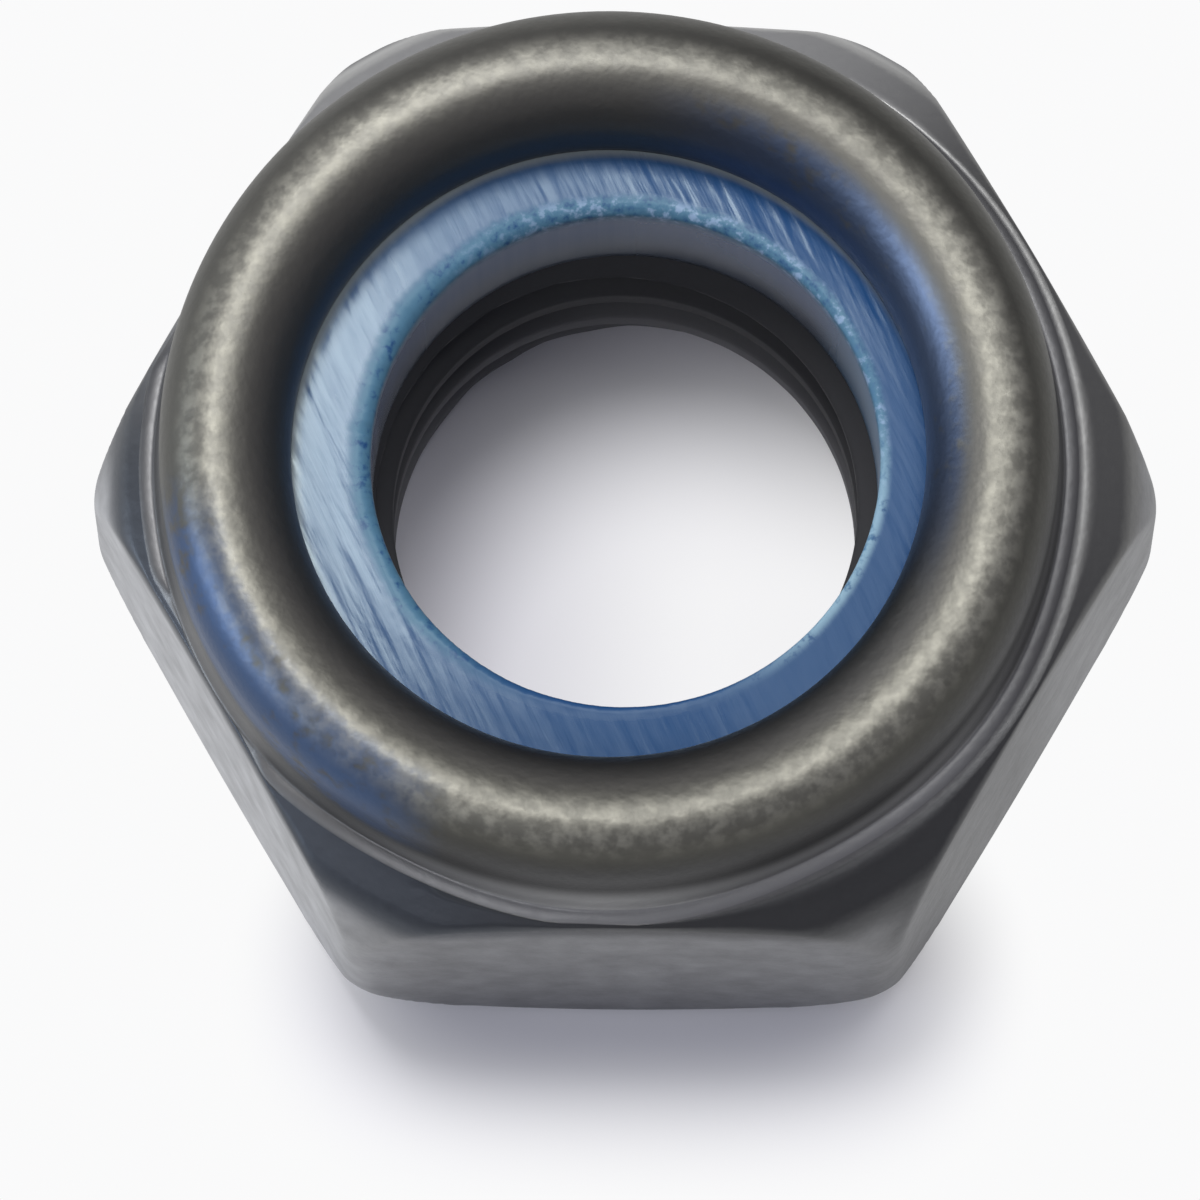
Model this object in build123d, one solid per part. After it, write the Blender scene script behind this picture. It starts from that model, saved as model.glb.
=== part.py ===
"""Hexagon lock nut with a nylon insert, M10 coarse thread, 17 mm across flats.

Two pieces: a forged steel body, whose top collar is rolled inwards, and the
nylon ring that the collar holds down in its pocket.

Frame: millimetres, +Z up the thread axis, origin at the centre of the bearing
face. Two flats face +Y and -Y, and two corners lie on the X axis.
"""
from build123d import *
import math
import os

# Thread
MINOR_RADIUS = 4.25                    # bore that the M10 x 1.5 thread is cut in
THREAD_RUN_OUT = 0.5                   # bevel where the bore opens into the pocket
ENTRY_RADIUS = 5.4                     # countersink at the bearing face
ENTRY_ANGLE = 60                       # half angle of that countersink

# Hexagon
SIDES = 6
ACROSS_FLATS = 17.0
APOTHEM = ACROSS_FLATS / 2
CORNER_ROUND = 0.7                     # the forging die leaves the upright edges round
CHAMFER_ANGLE = 30
BEARING_RADIUS = 8.25                  # flat part of the bearing face
SHOULDER_RADIUS = 8.35                 # flat ring that the corner cones start from
SHOULDER_HEIGHT = 6.85

# Rounding of the corners, which cold forging does not fill
BARREL_RADIUS = 9.75                   # just outside the upright edges
LOW_RIM_RADIUS = 8.9                   # the lower chamfer ends and the rounding starts
LOW_RIM_HEIGHT = 2.0                   # the rounding ends upright
HIGH_RIM_RADIUS = 9.12                 # the same at the upper chamfer
HIGH_RIM_HEIGHT = 3.9
RIM_STEPS = 4                          # narrow bevels that make up each rounding

# Rolled collar, turned a little off the thread axis
TOTAL_HEIGHT = 9.7
COLLAR_OFFSET = (-0.30, 0.06)
COLLAR_RADIUS = 8.1
CREST_RADIUS = 6.95
LIP_RADIUS = 5.73
WALL_TOP = 8.4                         # the roll starts here
LIP_TOP = 8.2                          # and ends here, above the lip's end face
FLARE_TOP = 7.7                        # hollow fillet from collar to hexagon
FLARE_WIDTH = 0.9
FLARE_HEIGHT = 1.5

# Pocket and nylon ring
SEAT_HEIGHT = 4.9
POCKET_RADIUS = 6.95
POCKET_WALL_TOP = 8.3                  # the nylon is squeezed up to here under the lip
NYLON_TOP = 7.65
NYLON_BORE_RADIUS = 4.6
NYLON_EDGE = 0.08                      # softened edge at the mouth of the nylon bore


def revolved(profile: Face, centre=(0, 0)) -> Part:
    """Turn an upright half section about the vertical axis through centre."""
    return Pos(*centre, 0) * revolve(profile, Axis.Z)


def section(*edges) -> Face:
    """Closed half section in the XZ plane, from its edges in order."""
    return Plane.XZ * make_face(Curve() + list(edges))


def hexagon(height: float) -> Part:
    """Six-sided prism with rounded upright edges and flats towards +Y and -Y."""
    outline = RegularPolygon(APOTHEM, SIDES, major_radius=False)
    prism = extrude(outline, height)
    return fillet(prism.edges().filter_by(Axis.Z), CORNER_ROUND)


def rounded_rim(side: tuple, rim: tuple) -> list:
    """Points up or down the rounding, from the upright side to the chamfer's rim."""
    inset, rise = side[0] - rim[0], rim[1] - side[1]
    radius = (inset**2 + rise**2) / (2 * inset)
    angle = math.asin(rise / radius)
    turns = [angle * step / RIM_STEPS for step in range(RIM_STEPS + 1)]
    return [
        (side[0] - radius * (1 - math.cos(turn)), side[1] + radius * math.sin(turn))
        for turn in turns
    ]


def barrel() -> Part:
    """Round bar, narrowed at both ends by the corner chamfers and the rounding."""
    slope = math.tan(math.radians(CHAMFER_ANGLE))
    low_rim = (LOW_RIM_RADIUS, (LOW_RIM_RADIUS - BEARING_RADIUS) * slope)
    high_rim = (HIGH_RIM_RADIUS, SHOULDER_HEIGHT - (HIGH_RIM_RADIUS - SHOULDER_RADIUS) * slope)
    outline = Polyline(
        (0, 0),
        (BEARING_RADIUS, 0),
        *reversed(rounded_rim((BARREL_RADIUS, LOW_RIM_HEIGHT), low_rim)),
        *rounded_rim((BARREL_RADIUS, HIGH_RIM_HEIGHT), high_rim),
        (SHOULDER_RADIUS, SHOULDER_HEIGHT),
        (0, SHOULDER_HEIGHT),
        close=True,
    )
    return revolved(section(outline))


def collar() -> Part:
    """Rolled collar, solid down to the hexagon, with a hollow fillet at its foot."""
    foot_radius = COLLAR_RADIUS + FLARE_WIDTH
    foot_height = FLARE_TOP - FLARE_HEIGHT
    outer_roll = EllipticalCenterArc(
        (CREST_RADIUS, WALL_TOP),
        x_radius=COLLAR_RADIUS - CREST_RADIUS,
        y_radius=TOTAL_HEIGHT - WALL_TOP,
        start_angle=0,
        arc_size=90,
    )
    inner_roll = EllipticalCenterArc(
        (CREST_RADIUS, LIP_TOP),
        x_radius=CREST_RADIUS - LIP_RADIUS,
        y_radius=TOTAL_HEIGHT - LIP_TOP,
        start_angle=90,
        arc_size=90,
    )
    flare = EllipticalCenterArc(
        (foot_radius, FLARE_TOP),
        x_radius=FLARE_WIDTH,
        y_radius=FLARE_HEIGHT,
        start_angle=180,
        arc_size=90,
    )
    return revolved(
        section(
            outer_roll,
            inner_roll,
            Polyline((LIP_RADIUS, LIP_TOP), (LIP_RADIUS, NYLON_TOP), (0, NYLON_TOP)),
            Line((0, NYLON_TOP), (0, SEAT_HEIGHT)),
            Polyline((0, SEAT_HEIGHT), (foot_radius, SEAT_HEIGHT), (foot_radius, foot_height)),
            flare,
            Line((COLLAR_RADIUS, FLARE_TOP), (COLLAR_RADIUS, WALL_TOP)),
        ),
        COLLAR_OFFSET,
    )


def pocket() -> Part:
    """Space that the nylon fills: the turned pocket and the gap under the lip."""
    outline = Polyline(
        (0, SEAT_HEIGHT),
        (POCKET_RADIUS, SEAT_HEIGHT),
        (POCKET_RADIUS, POCKET_WALL_TOP),
        (LIP_RADIUS, NYLON_TOP),
        (0, NYLON_TOP),
        close=True,
    )
    return revolved(section(outline), COLLAR_OFFSET)


def thread_bore() -> Part:
    """Bore at the thread's minor diameter, countersunk at both ends."""
    entry_depth = (ENTRY_RADIUS - MINOR_RADIUS) / math.tan(math.radians(ENTRY_ANGLE))
    outline = Polyline(
        (0, 0),
        (ENTRY_RADIUS, 0),
        (MINOR_RADIUS, entry_depth),
        (MINOR_RADIUS, SEAT_HEIGHT - THREAD_RUN_OUT),
        (MINOR_RADIUS + THREAD_RUN_OUT, SEAT_HEIGHT),
        (0, SEAT_HEIGHT),
        close=True,
    )
    return revolved(section(outline))


def nut_body() -> Part:
    """Steel body: chamfered hexagon and collar in one piece, bored and pocketed."""
    blank = hexagon(TOTAL_HEIGHT) & (barrel() + collar())
    body = blank - pocket() - thread_bore()
    body.label = "nut_body"
    return body


def nylon_insert() -> Part:
    """Nylon ring that fills the pocket, bored in line with the thread."""
    bore = Polyline(
        (0, SEAT_HEIGHT),
        (NYLON_BORE_RADIUS, SEAT_HEIGHT),
        (NYLON_BORE_RADIUS, NYLON_TOP - NYLON_EDGE),
        (NYLON_BORE_RADIUS + NYLON_EDGE, NYLON_TOP),
        (0, NYLON_TOP),
        close=True,
    )
    ring = pocket() - revolved(section(bore))
    ring.label = "nylon_insert"
    return ring


os.makedirs("parts", exist_ok=True)
for piece in (nut_body(), nylon_insert()):
    export_step(piece, f"parts/{piece.label}.step")
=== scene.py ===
import math

import bpy
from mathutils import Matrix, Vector


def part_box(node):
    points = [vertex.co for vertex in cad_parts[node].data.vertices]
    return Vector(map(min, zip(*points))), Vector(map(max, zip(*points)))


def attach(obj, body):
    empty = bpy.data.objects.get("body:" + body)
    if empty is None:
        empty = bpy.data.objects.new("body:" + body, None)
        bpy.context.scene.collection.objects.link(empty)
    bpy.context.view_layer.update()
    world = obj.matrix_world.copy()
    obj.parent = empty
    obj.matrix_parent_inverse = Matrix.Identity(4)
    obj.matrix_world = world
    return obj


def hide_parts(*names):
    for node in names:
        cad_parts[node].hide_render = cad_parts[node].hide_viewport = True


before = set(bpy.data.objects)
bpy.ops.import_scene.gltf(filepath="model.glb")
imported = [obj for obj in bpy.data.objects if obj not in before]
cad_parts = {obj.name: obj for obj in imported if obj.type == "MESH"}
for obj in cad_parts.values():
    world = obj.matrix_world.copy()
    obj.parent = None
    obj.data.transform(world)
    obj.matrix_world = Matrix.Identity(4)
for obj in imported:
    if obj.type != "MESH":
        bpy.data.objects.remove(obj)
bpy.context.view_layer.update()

MM = 0.001
SIDES = 6
SIDE_ANGLE = math.tau / SIDES

body_low, body_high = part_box("nut_body")
ring_low, ring_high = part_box("nylon_insert")

# Sizes in millimetres
THREAD = {
    "Pitch": 1.5,
    "Minor radius": 4.25,
    "Groove depth": 0.72,
    "Groove root": 0.19,
    "Entry radius": 5.4,
    "Entry slope": math.tan(math.radians(60)),
    "Run-out": 0.5,
    "Thread start": 0.117,
}
HEXAGON = {
    "Half across flats": (body_high.y - body_low.y) / 2 / MM,
    "Corner round": 0.7,
    "Bearing radius": 8.25,
    "Shoulder radius": 8.35,
    "Shoulder height": 6.85,
    "Chamfer slope": math.tan(math.radians(30)),
    "Barrel radius": 9.75,
    "Low rim radius": 8.9,
    "Low rim height": 2.0,
    "High rim radius": 9.12,
    "High rim height": 3.9,
    "Edge round": 0.16,
    "Blend": 0.1,
}
COLLAR = {
    "Collar offset X": -0.30,
    "Collar offset Y": 0.06,
    "Collar radius": 8.1,
    "Crest radius": 6.95,
    "Lip radius": 5.73,
    "Height": body_high.z / MM,
    "Wall top": 8.4,
    "Lip top": 8.02,
    "Flare top": 8.1,
    "Crest spread": 0.07,
    "Crest shift": 0.2,
    "Ledge start": 8.28,
    "Ledge end": 8.44,
    "Ledge height": 0.04,
    "Corner pinch": 0.15,
}
POCKET = {
    "Seat height": ring_low.z / MM,
    "Pocket radius": 6.95,
    "Pocket wall top": ring_high.z / MM,
    "Nylon top": 7.72,
}
NYLON = {
    "Nylon bore radius": 4.6,
    "Face slope": 0.1,
    "Mouth width": 0.34,
    "Mouth depth": 0.3,
    "Cut depth": 0.03,
    "Clearance": 0.02,
    "Under lip": 0.1,
}
THREAD_FLANK = math.tan(math.radians(30))
THREAD_SOFTNESS = 0.08         # rounds the crests and roots of the thread
CUT_STRETCH = 0.12             # how far the cut face's grooves are drawn out
SCRATCH_STRETCH = 0.1          # and the finer scratches on it
SEAM = 1e-6                    # metres within which the edges of two strips are one
FLOOR_DROP = 0.01              # keeps the floor just off the bearing face

# How finely the strips of the two skins are divided
COLUMNS_PER_SIDE = 56
RING_COLUMNS = 720
THREAD_ROWS = 112
SIDE_ROWS = 48
LEDGE_ROWS = 8
FLARE_ROWS = 10
ROLL_ROWS = 14
FACE_ROWS = 28
MOUTH_ROWS = 8
NYLON_BORE_ROWS = 16
CORNER_GATHER = 0.75           # how strongly the columns gather at the hexagon's corners

# Bearings round the thread axis, in degrees from +X towards +Y
CREST_BEARING = 262            # the crest of the roll leans out towards this
CUT_BEARING = 25               # the cutting marks on the nylon run square to this
MOUTH_BEARING = 140            # the nylon's torn mouth is widest towards this

# Camera and lamps: the lens and its sensor in millimetres, the rest in metres
CAMERA_ELEVATION = math.radians(75.17)
CAMERA_DISTANCE = 0.26
CAMERA_LENS = 428
SENSOR_WIDTH = 36
LIGHT_DISTANCE = 0.5
LIGHT_WIDTH = 0.19
NUT_MIDDLE = Vector((0, 0, 5)) * MM
CAMERA_AIM = Vector((-0.447, -1.815, 4.52)) * MM


def towards(bearing, x, y):
    """How far the point (x, y) lies towards a bearing in degrees."""
    turn = math.radians(bearing)
    return x * math.cos(turn) + y * math.sin(turn)


class Value:
    """An output socket that can stand in a sum: each operator adds its Math node."""

    def __init__(self, net, socket):
        self.net = net
        self.socket = socket

    def math(self, operation, *others):
        return self.net.math(operation, self, *others)

    def __add__(self, other):
        return self.math("ADD", other)

    def __sub__(self, other):
        return self.math("SUBTRACT", other)

    def __mul__(self, other):
        return self.math("MULTIPLY", other)

    def __truediv__(self, other):
        return self.math("DIVIDE", other)

    def __rsub__(self, other):
        return self.net.math("SUBTRACT", other, self)

    def __rtruediv__(self, other):
        return self.net.math("DIVIDE", other, self)

    def __neg__(self):
        return self * -1

    __radd__ = __add__
    __rmul__ = __mul__


class Net:
    """A node tree, shader or geometry, that is built by adding nodes to it."""

    def __init__(self, tree):
        self.tree = tree

    def add(self, kind, settings=None, sockets=None, output=0):
        """Add a node: its settings first, then values or links for its sockets."""
        node = self.tree.nodes.new(kind)
        for name, value in (settings or {}).items():
            setattr(node, name, value)
        for name, value in (sockets or {}).items():
            for item in value if isinstance(value, list) else [value]:
                self.feed(self.find(node.inputs, name), item)
        return Value(self, self.find(node.outputs, output))

    def feed(self, socket, value):
        if isinstance(value, Value):
            self.tree.links.new(value.socket, socket)
        else:
            socket.default_value = value

    def find(self, sockets, name):
        """A socket by its number, its identifier or its name."""
        if isinstance(name, int):
            return sockets[name]
        named = [s for s in sockets if s.identifier == name and s.enabled]
        return named[0] if named else [s for s in sockets if s.name == name and s.enabled][0]

    def math(self, operation, *terms):
        return self.add("ShaderNodeMath", {"operation": operation}, dict(enumerate(terms)))

    def parts(self, vector):
        """The three numbers of a vector."""
        node = self.add("ShaderNodeSeparateXYZ", sockets={"Vector": vector}).socket.node
        return [Value(self, socket) for socket in node.outputs]

    def vector(self, x, y, z):
        return self.add("ShaderNodeCombineXYZ", sockets={"X": x, "Y": y, "Z": z})

    def ramp(self, value, low, high):
        """0 where value is low, 1 where it is high, and smooth between."""
        return self.add(
            "ShaderNodeMapRange",
            {"interpolation_type": "SMOOTHSTEP"},
            {"Value": value, "From Min": low, "From Max": high},
        )

    def noise(self, vector, scale, detail=2.0, roughness=0.5):
        """Cloudy noise about 0.5."""
        return self.add(
            "ShaderNodeTexNoise",
            sockets={"Vector": vector, "Scale": scale, "Detail": detail, "Roughness": roughness},
            output="Fac",
        )

    def mix(self, factor, first, second):
        """Blend two colours."""
        return self.add(
            "ShaderNodeMix",
            {"data_type": "RGBA"},
            {"Factor_Float": factor, "A_Color": first, "B_Color": second},
            "Result_Color",
        )

    def attribute(self, name):
        """Weight that the geometry has stored for the shader under this name."""
        return self.add("ShaderNodeAttribute", {"attribute_name": name}, output="Fac")


# ------------------------------------------------------------- turned pieces


class Turned(Net):
    """Geometry tree of a closed piece that is made of strips run round the nut.

    A strip is a grid: its columns run round the nut, and its rows along one stretch
    of the section. A section point is (radius, height, hold), where hold is 0 for a
    point turned on the thread axis and 1 for one turned on the collar's axis.
    """

    def __init__(self, name, sizes):
        super().__init__(bpy.data.node_groups.new(name, "GeometryNodeTree"))
        self.strips = []
        self.marks = {}
        interface = self.tree.interface
        interface.new_socket("Geometry", in_out="OUTPUT", socket_type="NodeSocketGeometry")
        for size in sizes:
            kind = "NodeSocketInt" if size == "Columns" else "NodeSocketFloat"
            interface.new_socket(size, in_out="INPUT", socket_type=kind)
        source = self.tree.nodes.new("NodeGroupInput")
        self.size = {name: Value(self, source.outputs[name]) for name in sizes}
        across, along, _ = self.parts(self.add("GeometryNodeInputPosition"))
        self.round = across + 0.5
        self.run = along + 0.5

    def turn(self, bearing):
        """Set the bearing, in radians, at which each column stands."""
        self.bearing = bearing
        self.cosine = bearing.math("COSINE")
        self.sine = bearing.math("SINE")

    def plan(self, radius, hold):
        """Where a section point lies in plan."""
        x = radius * self.cosine + self.size["Collar offset X"] * hold
        y = radius * self.sine + self.size["Collar offset Y"] * hold
        return x, y

    def strip(self, steps, point):
        """Add a strip on a section point that is ruled by self.run, from 0 to 1."""
        radius, height, hold = point
        x, y = self.plan(radius, hold)
        strip = self.add(
            "GeometryNodeMeshGrid",
            sockets={
                "Size X": 1.0,
                "Size Y": 1.0,
                "Vertices X": self.size["Columns"] + 1,
                "Vertices Y": steps + 1,
            },
        )
        for name, weight in self.marks.items():
            strip = self.add(
                "GeometryNodeStoreNamedAttribute",
                {"data_type": "FLOAT", "domain": "POINT"},
                {"Geometry": strip, "Name": name, "Value": weight},
            )
        strip = self.add(
            "GeometryNodeSetPosition",
            sockets={"Geometry": strip, "Position": self.vector(x * MM, y * MM, height * MM)},
        )
        self.strips.append(strip)

    def straight(self, start, end, steps=1):
        """Straight stretch from start to end."""
        self.strip(steps, [a + (b - a) * self.run for a, b in zip(start, end)])

    def curve(self, start, corner, end, steps=6):
        """Quarter of an ellipse from start to end, drawn towards the corner."""
        quarter = self.run * (math.pi / 2)
        fore, aft = quarter.math("COSINE"), quarter.math("SINE")
        self.strip(
            steps,
            [
                (a + b - c) + (c - b) * fore + (c - a) * aft
                for a, c, b in zip(start, corner, end)
            ],
        )

    def close(self, material):
        """Sew the strips into one closed smooth skin and give it its material."""
        join = self.add("GeometryNodeJoinGeometry", sockets={"Geometry": self.strips})
        skin = self.add(
            "GeometryNodeMergeByDistance",
            sockets={"Geometry": join, "Distance": SEAM},
        )
        smooth = self.add("GeometryNodeSetShadeSmooth", sockets={"Geometry": skin})
        real = self.add("GeometryNodeRealizeInstances", sockets={"Geometry": smooth})
        dressed = self.add(
            "GeometryNodeSetMaterial",
            sockets={"Geometry": real, "Material": material},
        )
        sink = self.tree.nodes.new("NodeGroupOutput")
        self.feed(sink.inputs["Geometry"], dressed)
        return self.tree


def hexagon_rule(net):
    """Bearing of each column, and how far out the rounded hexagon lies there."""
    side = net.round * SIDES
    number = side.math("FLOOR")
    share = side - number
    gathered = share - (share * math.tau).math("SINE") * (CORNER_GATHER / math.tau)
    net.turn((number + gathered) * SIDE_ANGLE)
    flat, corner = net.size["Half across flats"], net.size["Corner round"]
    from_middle = ((gathered - 0.5) * SIDE_ANGLE).math("ABSOLUTE")
    from_corner = SIDE_ANGLE / 2 - from_middle
    centre = (flat - corner) / math.cos(SIDE_ANGLE / 2)
    reach = centre * from_corner.math("SINE")
    bulge = (corner * corner - reach * reach).math("MAXIMUM", 0.0).math("SQRT")
    on_round = centre * from_corner.math("COSINE") + bulge
    on_flat = flat / from_middle.math("COSINE")
    tangent = ((flat - corner) * math.tan(SIDE_ANGLE / 2) / flat).math("ARCTANGENT")
    rounded = from_middle.math("GREATER_THAN", tangent)
    return on_flat + (on_round - on_flat) * rounded


def bore_radius(net, height):
    """Radius of the threaded bore at a height, with a right-hand groove."""
    size = net.size
    turns = height / size["Pitch"] - net.bearing / math.tau + size["Thread start"]
    along = (turns.math("FRACT") - 0.5).math("ABSOLUTE") * size["Pitch"]
    rise = (along - size["Groove root"] / 2) / THREAD_FLANK
    rise = rise.math("SMOOTH_MAX", 0.0, THREAD_SOFTNESS)
    rise = rise.math("SMOOTH_MIN", size["Groove depth"], THREAD_SOFTNESS)
    thread = size["Minor radius"] + size["Groove depth"] - rise
    entry = size["Entry radius"] - size["Entry slope"] * height
    run_out = size["Minor radius"] + size["Run-out"] + height - size["Seat height"]
    return thread.math("MAXIMUM", entry).math("MAXIMUM", run_out)


def between(start, end, share):
    """Section point at a share of the way from start to end."""
    return tuple(a + (b - a) * share for a, b in zip(start, end))


def rounding(side_radius, rim_radius, rise, past_side):
    """How far the turned rounding lies inside the upright side, at a height past its end."""
    inset = side_radius - rim_radius
    radius = (inset * inset + rise * rise) / (2 * inset)
    past = past_side.math("MAXIMUM", 0.0)
    return radius - (radius * radius - past * past).math("SQRT")


def nut_body_tree(sizes, material):
    """Hexagon, chamfers, collar rolled inwards, pocket and threaded bore as one skin."""
    net = Turned("nut_body", sizes)
    size = net.size
    flats = hexagon_rule(net)
    slope, soft, blend = size["Chamfer slope"], size["Edge round"], size["Blend"]

    def shoulder(radius):
        """Height of the flat shoulder, or of the cone outside it."""
        over = (radius - size["Shoulder radius"]).math("MAXIMUM", 0.0)
        return size["Shoulder height"] - over * slope

    low_cone = (size["Low rim radius"] - size["Bearing radius"]) * slope
    low_rise = size["Low rim height"] - low_cone
    high_rise = shoulder(size["High rim radius"]) - size["High rim height"]

    def side(height):
        """Point on the hexagon's side, or on the rounding where that cuts deeper."""
        high = rounding(
            size["Barrel radius"],
            size["High rim radius"],
            high_rise,
            height - size["High rim height"],
        )
        low = rounding(
            size["Barrel radius"],
            size["Low rim radius"],
            low_rise,
            size["Low rim height"] - height,
        )
        limit = size["Barrel radius"] - high - low
        return flats.math("SMOOTH_MIN", limit, blend), height, 0

    eccentric = size["Collar offset X"] * net.cosine + size["Collar offset Y"] * net.sine
    at_corner = (net.bearing * SIDES).math("COSINE") * 0.5 + 0.5
    pinch = size["Corner pinch"] * at_corner * (-net.sine).math("MAXIMUM", 0.0)
    ledge_reach = (size["Ledge end"] - pinch + eccentric).math("MINIMUM", flats - soft)
    lean = towards(CREST_BEARING, net.cosine, net.sine)
    crest_radius = size["Crest radius"] + size["Crest spread"] + size["Crest shift"] * lean
    cone_start = ledge_reach.math("MAXIMUM", size["Shoulder radius"])
    ledge_height = shoulder(ledge_reach) + size["Ledge height"]
    low_rim = flats.math("SMOOTH_MIN", size["Low rim radius"], blend)
    high_rim = flats.math("SMOOTH_MIN", size["High rim radius"], blend)
    low_edge = (low_rim, (low_rim - size["Bearing radius"]) * slope, 0)
    high_edge = (high_rim, shoulder(high_rim), 0)
    entry = (bore_radius(net, 0.0), 0, 0)
    bearing_edge = (size["Bearing radius"], 0, 0)
    bearing_middle = between(entry, bearing_edge, 0.9)
    cone_edge = (cone_start + soft / 2, shoulder(cone_start + soft / 2), 0)
    ledge_corner = (ledge_reach - eccentric, ledge_height, 1)
    ledge_end = (ledge_reach + soft / 2 - eccentric, shoulder(cone_start + soft / 2), 1)
    ledge_start = (size["Ledge start"] - pinch, ledge_height, 1)
    flare_corner = (size["Collar radius"], ledge_height, 1)
    wall_foot = (size["Collar radius"], size["Flare top"], 1)
    wall_top = (size["Collar radius"], size["Wall top"], 1)
    outer_corner = (size["Collar radius"], size["Height"], 1)
    crest = (crest_radius, size["Height"], 1)
    inner_corner = (size["Lip radius"], size["Height"], 1)
    lip_top = (size["Lip radius"], size["Lip top"], 1)
    lip_foot = (size["Lip radius"], size["Nylon top"], 1)
    pocket_top = (size["Pocket radius"], size["Pocket wall top"], 1)
    pocket_foot = (size["Pocket radius"], size["Seat height"], 1)
    seat_edge = (bore_radius(net, size["Seat height"]), size["Seat height"], 0)

    def back_from(corner, neighbour):
        """Point a little back from a corner, at most two fifths of the way along a face."""
        length = (neighbour[0] - corner[0]) * (neighbour[0] - corner[0])
        length = length + (neighbour[1] - corner[1]) * (neighbour[1] - corner[1])
        share = (soft / length.math("SQRT")).math("MINIMUM", 0.4)
        return between(corner, neighbour, share)

    low_side = side(low_edge[1] + soft)
    high_side = side(high_edge[1] - soft)
    low_back, high_back = back_from(low_edge, bearing_edge), back_from(high_edge, cone_edge)
    bearing_ends = back_from(bearing_edge, bearing_middle), back_from(bearing_edge, low_edge)

    net.straight(entry, bearing_middle, 4)
    net.straight(bearing_middle, bearing_ends[0])
    net.curve(bearing_ends[0], bearing_edge, bearing_ends[1])
    net.straight(bearing_ends[1], low_back, 2)
    net.marks = {"flat": 1.0}
    net.curve(low_back, low_edge, low_side)
    height = low_side[1] + (high_side[1] - low_side[1]) * net.run
    net.marks = {"flat": net.ramp(high_side[1] - height, 0.0, 0.7)}
    net.strip(SIDE_ROWS, side(height))
    net.marks = {}
    net.curve(high_side, high_edge, high_back)
    net.straight(high_back, cone_edge, 4)
    net.straight(cone_edge, ledge_end, 2)
    # foot marks where the shader paints a highlight
    net.marks = {"foot": 1.0}
    net.curve(ledge_end, ledge_corner, ledge_start, LEDGE_ROWS)
    net.marks = {"foot": net.ramp(net.run, 0.92, 0.45)}
    net.curve(ledge_start, flare_corner, wall_foot, FLARE_ROWS)
    net.marks = {}
    net.straight(wall_foot, wall_top, 2)
    net.curve(wall_top, outer_corner, crest, ROLL_ROWS)
    net.curve(crest, inner_corner, lip_top, ROLL_ROWS)
    net.straight(lip_top, lip_foot, 2)
    net.straight(lip_foot, pocket_top, 2)
    net.straight(pocket_top, pocket_foot, 2)
    net.straight(pocket_foot, seat_edge, 2)
    height = size["Seat height"] * (1 - net.run)
    net.strip(THREAD_ROWS, (bore_radius(net, height), height, 0))
    return net.close(material)


def cutting_marks(net, x, y, stretch, scale, roughness):
    """Noise drawn out along the way that the nylon was cut."""
    square = towards(CUT_BEARING, x, y)
    running = towards(CUT_BEARING + 90, x, y)
    stretched = net.vector(square, running * stretch, 0.0)
    return net.noise(stretched, scale, 3.0, roughness)


def nylon_tree(sizes, material):
    """Ring that fills the pocket, its face cut across in one direction."""
    net = Turned("nylon_insert", sizes)
    size = net.size
    net.turn(net.round * math.tau)
    around = net.vector(net.cosine, net.sine, 0.0)
    torn = net.noise(around, 30.0, 4.0, 0.7)
    wandering = net.noise(around, 3.0, 2.0)
    worst = towards(MOUTH_BEARING, net.cosine, net.sine)
    uneven = (0.6 + 0.4 * worst) * (0.8 * torn + 0.8 * wandering)
    gap = size["Clearance"]
    mouth_width = size["Mouth width"] * uneven
    mouth_depth = size["Mouth depth"] * uneven
    bore, top = size["Nylon bore radius"], size["Nylon top"]
    pocket = size["Pocket radius"] - gap
    seat = size["Seat height"]
    under_lip = size["Lip radius"] + size["Under lip"]

    def face(radius):
        """Height of the cut face, which falls away from the bore like a flat cone."""
        return top - size["Face slope"] * (radius - bore)

    lip = (under_lip, face(under_lip), 1)
    mouth = (bore + mouth_width, face(bore + mouth_width), 0)
    mouth_corner = (bore + 0.15 * mouth_width, top - 0.15 * mouth_depth, 0)
    mouth_foot = (bore, top - mouth_depth, 0)
    bore_foot = (bore, seat, 0)
    pocket_foot = (pocket, seat, 1)
    pocket_top = (pocket, size["Pocket wall top"] - 2 * gap, 1)
    net.straight(pocket_foot, pocket_top, 2)
    net.straight(pocket_top, lip, 2)
    radius, height, hold = between(lip, mouth, net.run)
    cuts = cutting_marks(net, *net.plan(radius, hold), CUT_STRETCH, 3.0, 0.55)
    fade = (net.run * (1 - net.run) * 12).math("MINIMUM", 1.0)
    # the second weight is where the shader paints light into the lip's shadow
    net.marks = {
        "thin": net.ramp(net.run, 0.8, 1.0),
        "pressed": net.ramp(net.run, 0.25, 0.05),
    }
    net.strip(FACE_ROWS, (radius, height + size["Cut depth"] * (0.5 - cuts) * fade, hold))
    net.marks = {"thin": 1.0}
    net.curve(mouth, mouth_corner, mouth_foot, MOUTH_ROWS)
    net.marks = {"thin": net.ramp(net.run, 0.15, 0.0)}
    net.straight(mouth_foot, bore_foot, NYLON_BORE_ROWS)
    net.marks = {}
    net.straight(bore_foot, pocket_foot, 2)
    return net.close(material)


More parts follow.
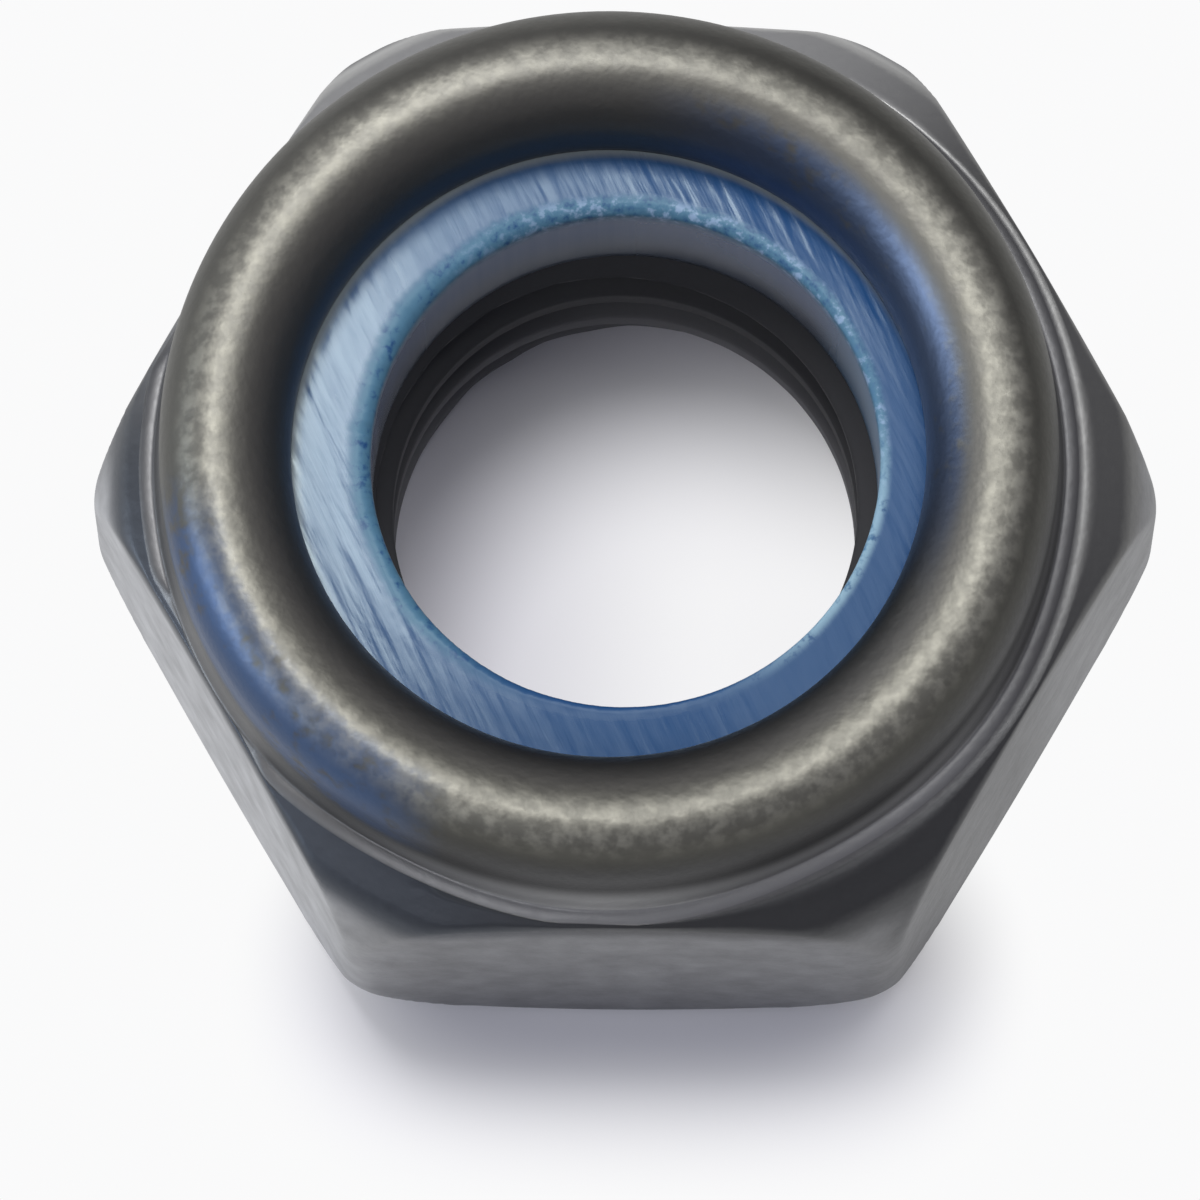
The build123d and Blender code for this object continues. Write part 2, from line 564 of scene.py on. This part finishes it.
def grow(name, tree, sizes):
    """Run a geometry tree with these sizes and keep what it makes as a plain mesh."""
    holder = bpy.data.objects.new(name + "_rule", bpy.data.meshes.new(name + "_rule"))
    bpy.context.scene.collection.objects.link(holder)
    modifier = holder.modifiers.new("rule", "NODES")
    modifier.node_group = tree
    for item in tree.interface.items_tree:
        if item.in_out == "INPUT" and item.name in sizes:
            modifier[item.identifier] = sizes[item.name]
    depsgraph = bpy.context.evaluated_depsgraph_get()
    mesh = bpy.data.meshes.new_from_object(holder.evaluated_get(depsgraph), depsgraph=depsgraph)
    bpy.data.objects.remove(holder)
    mesh.name = name
    piece = bpy.data.objects.new(name, mesh)
    bpy.context.scene.collection.objects.link(piece)
    return piece


# ----------------------------------------------------------------- materials

# Linear colours
STEEL = {
    "oxide": (0.066, 0.065, 0.06, 1),
    "oxide, cloudy": (0.092, 0.09, 0.08, 1),
    # painted light: the collar is lighter towards the back left, where the light falls
    "oxide, lit back left": (0.122, 0.12, 0.11, 1),
    # painted light: the inside of the roll is lighter than its outside, and lighter still towards
    # the right
    "inner flank, lightened": (0.158, 0.153, 0.14, 1),
    "inner flank, lightened, right": (0.235, 0.23, 0.213, 1),
    # painted shade on the outer flank at the front right
    "dark flank": (0.045, 0.045, 0.046, 1),
    # painted reflection: the cones are darker at the front and lighter at the sides and back
    "cone, front": (0.085, 0.086, 0.09, 1),
    "cone, side": (0.16, 0.16, 0.158, 1),
    "cone, back": (0.45, 0.45, 0.445, 1),
    # painted reflection: blue patches on the flank, inside the roll and on the front left cones
    "cone, blue_reflection": (0.07, 0.08, 0.1, 1),
    "blue_reflection, low left": (0.055, 0.095, 0.19, 1),
    "blue_reflection, high right": (0.11, 0.15, 0.245, 1),
    # the pale crest: part wear, part painted highlight
    "worn inside": (0.205, 0.2, 0.172, 1),
    "worn outside": (0.42, 0.41, 0.355, 1),
    # painted highlight along the collar's foot
    "foot_highlight": (0.17, 0.17, 0.173, 1),
    "rubbed, front": (0.35, 0.35, 0.356, 1),
    "black": (0, 0, 0, 1),
    "cool white": (1, 1.01, 1.05, 1),
    "thread": (0.055, 0.055, 0.059, 1),
    # painted light on the thread near the floor
    "thread, lit from below": (0.17, 0.17, 0.178, 1),
}
BLUE = {
    "face": (0.013, 0.066, 0.195, 1),
    # painted light on the bore wall, lower down and on the right
    "bore": (0.1, 0.12, 0.16, 1),
    "bore, right": (0.07, 0.17, 0.3, 1),
    # painted light: the teal of the thin torn edge, with pale glints and a lighter teal on the
    # right
    "torn": (0.075, 0.185, 0.29, 1),
    "torn, pale glint": (0.24, 0.35, 0.52, 1),
    "torn, lit right": (0.26, 0.41, 0.52, 1),
    # painted light under the lip
    "pressed": (0.4, 0.46, 0.48, 1),
    "sheen": (0.86, 1.0, 1.0, 1),
}
PAPER = {
    # painted shade: the paper's own colour is darker and purplish so that its shadow is deeper and
    # tinted
    "shaded": (0.8, 0.79, 0.85, 1),
    "even": (0.956, 0.956, 0.96, 1),
}
SHADOW_MIDDLE = (0.2, -8)      # where the paper keeps the nut's shadow
SHADOW_REACH = (8.2, 5.2)


def new_material(name):
    """Empty material, and the net that its nodes go into."""
    material = bpy.data.materials.new(name)
    material.use_nodes = True
    material.node_tree.nodes.clear()
    return material, Net(material.node_tree)


def finish_material(net, shader):
    sink = net.tree.nodes.new("ShaderNodeOutputMaterial")
    net.feed(sink.inputs["Surface"], shader)


class Spot:
    """Where a shaded point lies, in millimetres, about an upright axis."""

    def __init__(self, net, axis_x=0.0, axis_y=0.0):
        coordinates = net.add("ShaderNodeTexCoord", output="Object")
        self.at = net.add(
            "ShaderNodeVectorMath",
            {"operation": "SCALE"},
            {"Vector": coordinates, "Scale": 1 / MM},
        )
        x, y, self.z = net.parts(self.at)
        self.x = x - axis_x
        self.y = y - axis_y
        self.radius = (self.x * self.x + self.y * self.y).math("SQRT")

    def facing(self, bearing):
        """1 on the side towards a bearing in degrees, -1 on the far side."""
        return towards(bearing, self.x, self.y) / self.radius


def oxide_colour(net, spot, cloud, uneven, low_left):
    """Colour of the collar and the cones under the pale crest, with painted light, shade and
    reflection on them.
    """
    facing, radius, z = spot.facing, spot.radius, spot.z
    oxide = net.mix(cloud, STEEL["oxide"], STEEL["oxide, cloudy"])
    # painted light: the collar is made lighter towards the back left
    oxide = net.mix(net.ramp(facing(135), 0.2, 0.9), oxide, STEEL["oxide, lit back left"])
    # painted light: the inside of the roll is lighter, and lighter still towards the right, for
    # light the lamps do not bring there
    right = net.ramp(facing(350), 0.3, 1.0)
    inner = net.mix(right, STEEL["inner flank, lightened"], STEEL["inner flank, lightened, right"])
    colour = net.mix(net.ramp(radius, 6.95, 6.5), oxide, inner)
    # painted shade: the outer flank is darker towards the front right
    shaded_flank = net.ramp(facing(300), 0.2, 0.8) * net.ramp(z, 9.35, 8.7) * net.ramp(z, 7.1, 7.6)
    colour = net.mix(shaded_flank, colour, STEEL["dark flank"])

    # painted reflection: the chamfer cones are dark at the front, lighter at the sides and much
    # lighter at the back
    cone = net.ramp(z, 7.0, 6.8)
    cone_grey = net.mix(net.ramp(facing(90), -0.9, 0.2), STEEL["cone, front"], STEEL["cone, side"])
    cone_grey = net.mix(net.ramp(facing(110), 0.3, 0.8), cone_grey, STEEL["cone, back"])
    colour = net.mix(cone, colour, cone_grey)

    # painted reflection: blue patches low on the left of the outer flank, high inside the roll on
    # the right, and on the front left cones
    high_right = net.ramp(facing(28), 0.5, 0.9) * net.ramp(radius, 6.6, 6.2)
    colour = net.mix(low_left * uneven, colour, STEEL["blue_reflection, low left"])
    colour = net.mix(high_right * uneven, colour, STEEL["blue_reflection, high right"])
    cone_reflection = net.ramp(facing(215), 0.5, 0.9) * cone
    return net.mix(0.7 * cone_reflection, colour, STEEL["cone, blue_reflection"])


def crest_wear_and_highlight(net, spot, colour, mottle, low_left):
    """The crest of the roll made pale and mottled, part by wear and part as painted highlight."""
    facing = spot.facing
    crest_radius = COLLAR["Crest radius"] + COLLAR["Crest spread"]
    outward = COLLAR["Crest shift"] * facing(CREST_BEARING)
    # painted highlight: the pale band leans outwards towards the back left, and is weaker towards
    # the low left, the back right and the front
    outward = outward + 0.1 * net.ramp(facing(155), 0.75, 1.0)
    from_crest = spot.radius - crest_radius - outward
    crest = net.ramp(from_crest, -0.85, 0.0) * net.ramp(from_crest, 0.75, 0.35)
    highlight_dimmed = 0.6 * low_left + 0.45 * net.ramp(facing(75), 0.5, 0.95)
    highlight_dimmed = highlight_dimmed + 0.14 * net.ramp(facing(272), 0.7, 1.0)
    wear_and_highlight = crest * net.ramp(spot.z, 8.7, 9.3) * (0.42 + 0.46 * mottle) * (1 - highlight_dimmed)
    outer = net.ramp(from_crest, -0.15, 0.4)
    bright = net.mix(outer, STEEL["worn inside"], STEEL["worn outside"])
    return net.mix(wear_and_highlight, colour, bright)


def oxide_steel():
    """Dark oxide on forged steel: grey flats and cones with painted reflection, painted blue
    reflections, and a pale crest that is part wear and part painted highlight.
    """
    material, net = new_material("oxide_steel")
    spot = Spot(net, COLLAR["Collar offset X"], COLLAR["Collar offset Y"])
    facing = spot.facing
    grain = net.noise(spot.at, 3.2, 2.0, 0.5)
    pits = net.noise(spot.at, 9.0, 2.0, 0.6)
    cloud = net.noise(spot.at, 0.6, 2.0)
    patches = net.noise(spot.at, 1.4, 3.0)
    uneven = 0.9 * net.ramp(cloud + grain, 0.6, 0.95)
    mottle = net.ramp(grain + 0.3 * pits, 0.5, 0.85)

    outside = net.ramp(spot.radius, 7.0, 7.5) * net.ramp(spot.z, 7.4, 8.0)
    low_left = net.ramp(facing(217), 0.84, 0.95) * outside
    colour = oxide_colour(net, spot, cloud, uneven, low_left)
    colour = crest_wear_and_highlight(net, spot, colour, mottle, low_left)
    # painted highlight: a pale line on the ledge and flare at the collar's foot, paler at the
    # front
    front = net.ramp(facing(285), 0.6, 0.95)
    foot_highlight = net.mix(front, STEEL["foot_highlight"], STEEL["rubbed, front"])
    colour = net.mix(net.attribute("foot"), colour, foot_highlight)

    # the flats are dark grey with random patches, made lighter at the front, on the left and at
    # the right corner as painted reflection of the floor
    front_flat = net.ramp(facing(270), 0.8, 0.93)
    left_flat = net.ramp(facing(209), 0.78, 0.92)
    right_corner = net.ramp(facing(0), 0.85, 0.98)
    flat_reflection = 0.125 + 0.09 * front_flat + 0.295 * left_flat + 0.075 * right_corner
    grey = net.mix(flat_reflection * (0.6 + 0.8 * patches), STEEL["black"], STEEL["cool white"])
    colour = net.mix(net.attribute("flat"), colour, grey)

    inside = net.ramp(spot.radius, 5.5, 5.2) * net.ramp(spot.z, 5.6, 4.9)
    # painted light: the thread is lighter near the floor, where light from the floor reaches it
    thread = net.mix(net.ramp(spot.z, 2.8, 1.2), STEEL["thread"], STEEL["thread, lit from below"])
    colour = net.mix(inside, colour, thread)
    bump = net.add(
        "ShaderNodeBump",
        sockets={"Strength": 0.4, "Distance": 0.03 * MM, "Height": grain + 0.2 * pits},
    )
    shader = net.add(
        "ShaderNodeBsdfPrincipled",
        sockets={
            "Base Color": colour,
            "Metallic": 1 - 0.85 * inside,
            "Roughness": 0.44 + 0.1 * pits + 0.3 * inside,
            "Normal": bump,
        },
    )
    finish_material(net, shader)
    return material


def blue_nylon():
    """Cut nylon: blue and satin, and paler at the thin torn edge of the bore; light is painted at
    that edge, in the bore and under the lip.
    """
    material, net = new_material("blue_nylon")
    spot = Spot(net)
    facing = spot.facing
    thin = net.attribute("thin")
    # painted light: the torn edge of the bore is a paler teal, as light through the thin edge,
    # with painted pale glints and a lighter teal towards the right; towards the front it is not
    # shown
    torn = net.noise(spot.at, 5.0, 3.0, 0.6)
    pale = net.ramp(torn, 0.5, 0.65) * net.ramp(facing(37), -0.3, 0.6)
    edge = net.mix(pale, BLUE["torn"], BLUE["torn, pale glint"])
    edge = net.mix(net.ramp(facing(323), 0.6, 0.95), edge, BLUE["torn, lit right"])

    # painted light: the bore wall is a lighter grey-blue lower down, and bluer towards the right
    wall = net.ramp(spot.radius, 4.75, 4.65)
    colour = net.mix(wall * net.ramp(spot.z, 6.9, 5.2), BLUE["face"], BLUE["bore"])
    colour = net.mix(wall * net.ramp(facing(0), 0.7, 0.95), colour, BLUE["bore, right"])
    shown = net.ramp(facing(270), 1.0, 0.6)
    colour = net.mix(thin * shown * net.ramp(torn, 0.25, 0.5), colour, edge)
    # painted light: the face is pale just under the lip at the back, where the lip's shadow falls
    pressed = net.attribute("pressed") * net.ramp(facing(120), -0.3, 0.6)
    colour = net.mix(pressed, colour, BLUE["pressed"])

    cuts = cutting_marks(net, spot.x, spot.y, SCRATCH_STRETCH, 5.0, 0.5)
    dull = 0.1 * net.ramp(facing(115), 0.82, 1.0) + 0.2 * net.ramp(facing(340), 0.5, 1.0)
    bump = net.add(
        "ShaderNodeBump",
        sockets={"Strength": 0.35, "Distance": 0.03 * MM, "Height": cuts * (1 - wall)},
    )
    shader = net.add(
        "ShaderNodeBsdfPrincipled",
        sockets={
            "Base Color": colour,
            "Roughness": 0.17 + 0.14 * cuts + 0.25 * thin + dull,
            "Specular IOR Level": 0.45,
            "Specular Tint": BLUE["sheen"],
            "Normal": bump,
        },
    )
    finish_material(net, shader)
    return material


def pale_paper():
    """White sheet: it takes the shadow in front of the nut and in its hole, with painted light in
    the hole towards the lower right, and is even beyond.
    """
    material, net = new_material("pale_paper")
    spot = Spot(net)
    across = (spot.x - SHADOW_MIDDLE[0]) / SHADOW_REACH[0]
    along = (spot.y - SHADOW_MIDDLE[1]) / SHADOW_REACH[1]
    from_shadow = (across.math("POWER", 4.0) + along * along).math("SQRT")
    beyond = net.ramp(from_shadow, 0.15, 0.85) * net.ramp(spot.radius, 5.6, 7.0)
    in_hole = net.ramp(spot.radius, 6.0, 5.5)
    # painted light: in the hole the paper is made even white towards the lower right, as if lit
    # there
    lit = net.ramp(spot.x, -3.8, 2.0) * net.ramp(spot.y, 4.8, -0.8) * in_hole
    beyond = beyond + 0.85 * lit
    rays = net.tree.nodes.new("ShaderNodeLightPath")
    seen = Value(net, rays.outputs["Is Camera Ray"])
    for kind in ("Is Glossy Ray", "Is Transmission Ray"):
        seen = seen.math("MAXIMUM", Value(net, rays.outputs[kind]))
    paper = net.add(
        "ShaderNodeBsdfPrincipled",
        sockets={
            "Base Color": PAPER["shaded"],
            "Roughness": 0.9,
            "Specular IOR Level": 0.1,
        },
    )
    even = net.add(
        "ShaderNodeEmission",
        sockets={"Color": PAPER["even"], "Strength": 1.0},
    )
    shader = net.add("ShaderNodeMixShader", sockets={0: beyond * seen, 1: paper, 2: even})
    finish_material(net, shader)
    return material


# ------------------------------------------------------------------- pieces

steel, nylon = oxide_steel(), blue_nylon()
body_sizes = {"Columns": SIDES * COLUMNS_PER_SIDE, **THREAD, **HEXAGON, **COLLAR, **POCKET}
ring_sizes = {"Columns": RING_COLUMNS, **COLLAR, **POCKET, **NYLON}
body = grow("forged_body", nut_body_tree(body_sizes, steel), body_sizes)
ring = grow("nylon_ring", nylon_tree(ring_sizes, nylon), ring_sizes)
for piece, node, slot in (
    (body, "nut_body", "oxide_steel"),
    (ring, "nylon_insert", "blue_nylon"),
):
    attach(piece, "root")
    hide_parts(node)


# -------------------------------------------------------------------- stage


def floor(half_width=1.5):
    """Square sheet of paper under the nut."""
    mesh = bpy.data.meshes.new("floor")
    corners = [(-1, -1), (1, -1), (1, 1), (-1, 1)]
    mesh.from_pydata(
        [(x * half_width, y * half_width, -FLOOR_DROP * MM) for x, y in corners],
        [],
        [(0, 1, 2, 3)],
    )
    mesh.materials.append(pale_paper())
    plane = bpy.data.objects.new("floor", mesh)
    bpy.context.scene.collection.objects.link(plane)


def soft_light(name, direction, power, colour=(1, 1, 1)):
    """Round soft light that faces the nut from a direction (azimuth, elevation)."""
    lamp = bpy.data.lights.new(name, "AREA")
    lamp.shape = "DISK"
    lamp.size = LIGHT_WIDTH
    lamp.energy = power
    lamp.color = colour
    azimuth, elevation = map(math.radians, direction)
    away = Vector((
        math.cos(elevation) * math.cos(azimuth),
        math.cos(elevation) * math.sin(azimuth),
        math.sin(elevation),
    ))
    holder = bpy.data.objects.new(name, lamp)
    holder.location = NUT_MIDDLE + away * LIGHT_DISTANCE
    holder.rotation_euler = away.to_track_quat("Z", "Y").to_euler()
    bpy.context.scene.collection.objects.link(holder)


def room(strength=0.3, colour=(0.9, 0.9, 1.0)):
    """Even light from all round."""
    world = bpy.data.worlds.new("room")
    bpy.context.scene.world = world
    world.use_nodes = True
    background = world.node_tree.nodes["Background"]
    background.inputs["Color"].default_value = (*colour, 1)
    background.inputs["Strength"].default_value = strength


def camera():
    """Long lens that looks steeply down on the front of the nut."""
    lens = bpy.data.cameras.new("camera")
    lens.lens = CAMERA_LENS
    lens.sensor_width = SENSOR_WIDTH
    lens.clip_start = 0.01
    lens.clip_end = 10
    holder = bpy.data.objects.new("camera", lens)
    away = Vector((0, -math.cos(CAMERA_ELEVATION), math.sin(CAMERA_ELEVATION)))
    holder.location = NUT_MIDDLE + away * CAMERA_DISTANCE
    sight = CAMERA_AIM - holder.location
    holder.rotation_euler = sight.to_track_quat("-Z", "Y").to_euler()
    bpy.context.scene.collection.objects.link(holder)
    bpy.context.scene.camera = holder


floor()
room()
soft_light("key", (113, 70), 1.5)
soft_light("back_right", (45, 70), 0.35)
soft_light("low_left", (192, 12), 0.9, (0.8, 0.9, 1.0))
soft_light("front_left", (225, 52), 0.25)
camera()
bpy.context.scene.view_settings.view_transform = "Standard"
